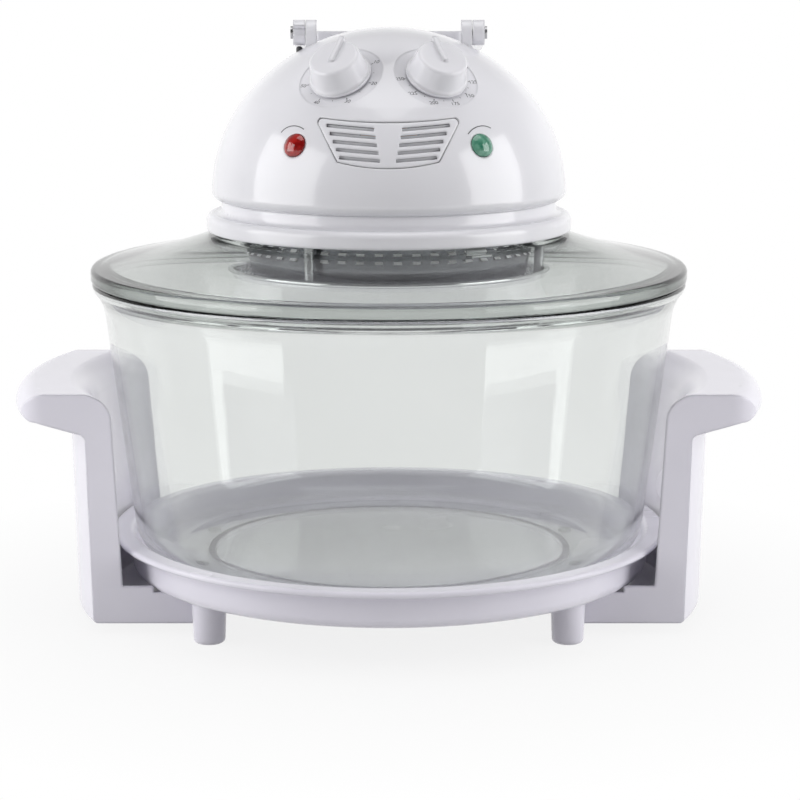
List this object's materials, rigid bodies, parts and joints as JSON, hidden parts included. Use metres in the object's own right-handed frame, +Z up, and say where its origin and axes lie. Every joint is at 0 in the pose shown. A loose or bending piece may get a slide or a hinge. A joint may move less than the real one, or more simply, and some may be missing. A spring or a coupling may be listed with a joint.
{
  "type": "glass bowl hot-air cooker",
  "caption": "Countertop hot-air cooker: glass bowl on a white stand with side handles, lift-off glass lid, domed head with dials, lamps, fan and heater.",
  "frame": {"origin": "centre of the base at table level, on the bowl's axis", "axes": "+Z up along the bowl's axis, front with the dials towards -Y, +X to the right seen from the front"},
  "size_m": [0.421, 0.335, 0.332],
  "materials": {
    "white_plastic": "gloss",
    "bowl_glass": "clear",
    "lid_glass": "clear",
    "lamp_glass": "clear",
    "seal": "matte",
    "chrome": "polished",
    "polished_steel": "polished",
    "steel": "satin",
    "aluminium": "satin",
    "ceramic": "matte",
    "red_lens": "gloss",
    "green_lens": "gloss",
    "black_plastic": "matte",
    "copper": "satin",
    "brass": "satin"
  },
  "bodies": {
    "stand": {"base_tray": "white_plastic", "foot_front_left": "white_plastic", "foot_front_right": "white_plastic", "foot_back_left": "white_plastic", "foot_back_right": "white_plastic", "handle_left": "white_plastic", "handle_right": "white_plastic", "handle_screws": "steel"},
    "bowl": {"glass_bowl": "bowl_glass"},
    "lid": {"glass_lid": "lid_glass", "neck_gasket": "seal", "head_base": "white_plastic", "head_cover": "white_plastic", "vent_grille": "white_plastic", "cover_screws": "steel", "glass_clips": "steel", "pan_posts": "steel", "pan_ring": "chrome", "air_shield": "polished_steel", "heat_shield": "steel", "guard_grille": "chrome", "halogen_tube": "lamp_glass", "tube_holders": "ceramic", "power_lamp": "red_lens", "heat_lamp": "green_lens", "lamp_holders": "black_plastic", "timer_unit": "black_plastic", "thermostat_unit": "black_plastic", "thermostat_probe": "steel", "thermal_cutout": "aluminium", "motor_stator": "steel", "motor_coil": "copper", "motor_bracket_lower": "steel", "motor_bracket_upper": "steel", "stator_screws": "steel", "bracket_screws": "steel", "mains_inlet": "black_plastic", "inlet_pins": "brass", "terminal_block": "black_plastic", "handle_pins": "steel", "safety_switch": "black_plastic"},
    "fan": {"fan_shaft": "steel", "hot_air_fan": "steel", "cooling_fan": "black_plastic", "fan_nut": "brass", "motor_rotor": "aluminium"},
    "timer": {"timer_knob": "white_plastic", "timer_shaft": "steel"},
    "thermostat": {"thermostat_knob": "white_plastic", "thermostat_shaft": "steel"},
    "carry": {"carry_handle": "white_plastic"},
    "plunger": {"switch_plunger": "black_plastic"}
  },
  "joints": [
    {"name": "bowl_lift", "type": "slide", "parent": "stand", "child": "bowl", "axis": [0, 0, 1], "range_m": [0, 0.12]},
    {"name": "lid_lift", "type": "slide", "parent": "bowl", "child": "lid", "axis": [0, 0, 1], "range_m": [0, 0.08]},
    {"name": "fan_spin", "type": "hinge", "parent": "lid", "child": "fan", "pos_m": [0, 0, 0.25], "axis": [0, 0, 1], "continuous": true},
    {"name": "timer_turn", "type": "hinge", "parent": "lid", "child": "timer", "pos_m": [-0.026, -0.05885, 0.3055], "axis": [-0.2518, -0.5701, 0.7821], "range_deg": [-300, 0]},
    {"name": "thermostat_turn", "type": "hinge", "parent": "lid", "child": "thermostat", "pos_m": [0.026, -0.05885, 0.3055], "axis": [0.2518, -0.5701, 0.7821], "range_deg": [-270, 0]},
    {"name": "handle_fold", "type": "hinge", "parent": "lid", "child": "carry", "pos_m": [0, 0, 0.325], "axis": [1, 0, 0], "range_deg": [0, 90]},
    {"name": "plunger_slide", "type": "slide", "parent": "lid", "child": "plunger", "axis": [0, 0, 1], "range_m": [0, 0.0031]}
  ],
  "couplings": [
    {"joint": "plunger_slide", "follows": "handle_fold", "m_per_rad": 0.0019099}
  ]
}
